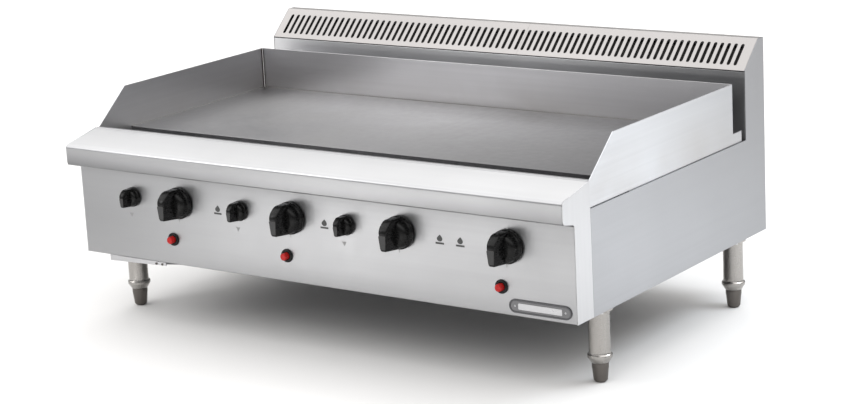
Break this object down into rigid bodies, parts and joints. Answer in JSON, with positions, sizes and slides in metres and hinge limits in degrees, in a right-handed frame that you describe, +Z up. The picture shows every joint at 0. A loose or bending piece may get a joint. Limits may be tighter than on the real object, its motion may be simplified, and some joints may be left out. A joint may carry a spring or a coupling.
{
  "type": "flat top griddle",
  "caption": "Table-top gas griddle: flat steel cooking plate with raised splash guard, front grease trough over a slide-out tray, knob console, slotted rear flue riser and adjustable feet.",
  "frame": {"origin": "centre of the footprint of the whole object on the floor it stands on, under the feet", "axes": "+X to the user's right along the front, +Y from the control panel towards the flue riser, +Z up"},
  "size_m": [1.2, 0.812, 0.542],
  "materials": {
    "brushed_stainless": "horizontally brushed stainless sheet, satin",
    "guard_stainless": "brushed stainless sheet, slightly darker and duller from heat",
    "galvanised_sheet": "plain mill-finish sheet at the back and underneath",
    "drip_stainless": "folded and welded stainless sheet",
    "ground_plate_steel": "ground flat cooking steel, dull grey",
    "badge_metal": "dark-edged metal badge with no lettering",
    "leg_steel": "satin turned steel",
    "foot_steel": "dark grey foot",
    "black_pipe": "black gas pipe",
    "brass": "machined brass",
    "aluminised_steel": "matt aluminised steel tube",
    "shutter_steel": "zinc-plated ring",
    "knob_plastic": "glossy black moulded plastic",
    "bezel_plastic": "black moulded bezel",
    "red_plastic": "glossy red moulded button"
  },
  "bodies": {
    "root": {"side_panel_left": "brushed_stainless", "side_panel_right": "brushed_stainless", "control_panel": "brushed_stainless", "console_end_left": "brushed_stainless", "console_end_right": "brushed_stainless", "bullnose_rail": "brushed_stainless", "flue_front_panel": "brushed_stainless", "flue_grille_left": "brushed_stainless", "flue_grille_right": "brushed_stainless", "splash_guard_left": "guard_stainless", "splash_guard_right": "guard_stainless", "splash_guard_rear": "guard_stainless", "back_panel": "galvanised_sheet", "bottom_panel": "galvanised_sheet", "tray_rail_left": "galvanised_sheet", "tray_rail_right": "galvanised_sheet", "grease_trough": "drip_stainless", "griddle_plate": "ground_plate_steel", "name_badge": "badge_metal", "leg_front_left": "leg_steel", "leg_front_right": "leg_steel", "leg_rear_left": "leg_steel", "leg_rear_right": "leg_steel", "gas_manifold": "black_pipe", "gas_valve_1": "brass", "gas_valve_2": "brass", "gas_valve_3": "brass", "gas_valve_4": "brass", "pilot_valve_1": "brass", "pilot_valve_2": "brass", "pilot_valve_3": "brass", "pilot_burner_1": "brass", "pilot_burner_2": "brass", "pilot_burner_3": "brass", "burner_1": "aluminised_steel", "burner_2": "aluminised_steel", "burner_3": "aluminised_steel", "burner_4": "aluminised_steel", "igniter_body_1": "bezel_plastic", "igniter_body_2": "bezel_plastic", "igniter_body_3": "bezel_plastic"},
    "control_knob_1": {"control_knob_1": "knob_plastic"},
    "control_knob_2": {"control_knob_2": "knob_plastic"},
    "control_knob_3": {"control_knob_3": "knob_plastic"},
    "control_knob_4": {"control_knob_4": "knob_plastic"},
    "pilot_knob_1": {"pilot_knob_1": "knob_plastic"},
    "pilot_knob_2": {"pilot_knob_2": "knob_plastic"},
    "pilot_knob_3": {"pilot_knob_3": "knob_plastic"},
    "igniter_button_1": {"igniter_button_1": "red_plastic"},
    "igniter_button_2": {"igniter_button_2": "red_plastic"},
    "igniter_button_3": {"igniter_button_3": "red_plastic"},
    "grease_tray": {"grease_tray": "drip_stainless"},
    "foot_front_left": {"foot_front_left": "foot_steel"},
    "foot_front_right": {"foot_front_right": "foot_steel"},
    "foot_rear_left": {"foot_rear_left": "foot_steel"},
    "foot_rear_right": {"foot_rear_right": "foot_steel"},
    "air_shutter_1": {"air_shutter_1": "shutter_steel"},
    "air_shutter_2": {"air_shutter_2": "shutter_steel"},
    "air_shutter_3": {"air_shutter_3": "shutter_steel"},
    "air_shutter_4": {"air_shutter_4": "shutter_steel"}
  },
  "joints": [
    {"name": "control_knob_1_turn", "type": "hinge", "parent": "root", "child": "control_knob_1", "pos_m": [-0.332, -0.366, 0.2755], "axis": [0, -1, 0], "range_deg": [0, 180]},
    {"name": "control_knob_2_turn", "type": "hinge", "parent": "root", "child": "control_knob_2", "pos_m": [-0.045, -0.366, 0.2755], "axis": [0, -1, 0], "range_deg": [0, 180]},
    {"name": "control_knob_3_turn", "type": "hinge", "parent": "root", "child": "control_knob_3", "pos_m": [0.216, -0.366, 0.2755], "axis": [0, -1, 0], "range_deg": [0, 180]},
    {"name": "control_knob_4_turn", "type": "hinge", "parent": "root", "child": "control_knob_4", "pos_m": [0.457, -0.366, 0.2755], "axis": [0, -1, 0], "range_deg": [0, 180]},
    {"name": "pilot_knob_1_turn", "type": "hinge", "parent": "root", "child": "pilot_knob_1", "pos_m": [-0.458, -0.361, 0.2755], "axis": [0, -1, 0], "range_deg": [0, 90]},
    {"name": "pilot_knob_2_turn", "type": "hinge", "parent": "root", "child": "pilot_knob_2", "pos_m": [-0.175, -0.361, 0.2755], "axis": [0, -1, 0], "range_deg": [0, 90]},
    {"name": "pilot_knob_3_turn", "type": "hinge", "parent": "root", "child": "pilot_knob_3", "pos_m": [0.089, -0.361, 0.2755], "axis": [0, -1, 0], "range_deg": [0, 90]},
    {"name": "igniter_button_1_press", "type": "slide", "parent": "root", "child": "igniter_button_1", "axis": [0, 1, 0], "range_m": [0, 0.005], "stiffness_N_per_m": 800},
    {"name": "igniter_button_2_press", "type": "slide", "parent": "root", "child": "igniter_button_2", "axis": [0, 1, 0], "range_m": [0, 0.005], "stiffness_N_per_m": 800},
    {"name": "igniter_button_3_press", "type": "slide", "parent": "root", "child": "igniter_button_3", "axis": [0, 1, 0], "range_m": [0, 0.005], "stiffness_N_per_m": 800},
    {"name": "grease_tray_slide", "type": "slide", "parent": "root", "child": "grease_tray", "axis": [0, -1, 0], "range_m": [0, 0.34]},
    {"name": "foot_front_left_level", "type": "slide", "parent": "root", "child": "foot_front_left", "axis": [0, 0, -1], "range_m": [0, 0.025]},
    {"name": "foot_front_right_level", "type": "slide", "parent": "root", "child": "foot_front_right", "axis": [0, 0, -1], "range_m": [0, 0.025]},
    {"name": "foot_rear_left_level", "type": "slide", "parent": "root", "child": "foot_rear_left", "axis": [0, 0, -1], "range_m": [0, 0.025]},
    {"name": "foot_rear_right_level", "type": "slide", "parent": "root", "child": "foot_rear_right", "axis": [0, 0, -1], "range_m": [0, 0.025]},
    {"name": "air_shutter_1_turn", "type": "hinge", "parent": "root", "child": "air_shutter_1", "pos_m": [-0.405, -0.201, 0.266], "axis": [0, 1, 0], "range_deg": [-30, 30]},
    {"name": "air_shutter_2_turn", "type": "hinge", "parent": "root", "child": "air_shutter_2", "pos_m": [-0.135, -0.201, 0.266], "axis": [0, 1, 0], "range_deg": [-30, 30]},
    {"name": "air_shutter_3_turn", "type": "hinge", "parent": "root", "child": "air_shutter_3", "pos_m": [0.135, -0.201, 0.266], "axis": [0, 1, 0], "range_deg": [-30, 30]},
    {"name": "air_shutter_4_turn", "type": "hinge", "parent": "root", "child": "air_shutter_4", "pos_m": [0.405, -0.201, 0.266], "axis": [0, 1, 0], "range_deg": [-30, 30]}
  ]
}
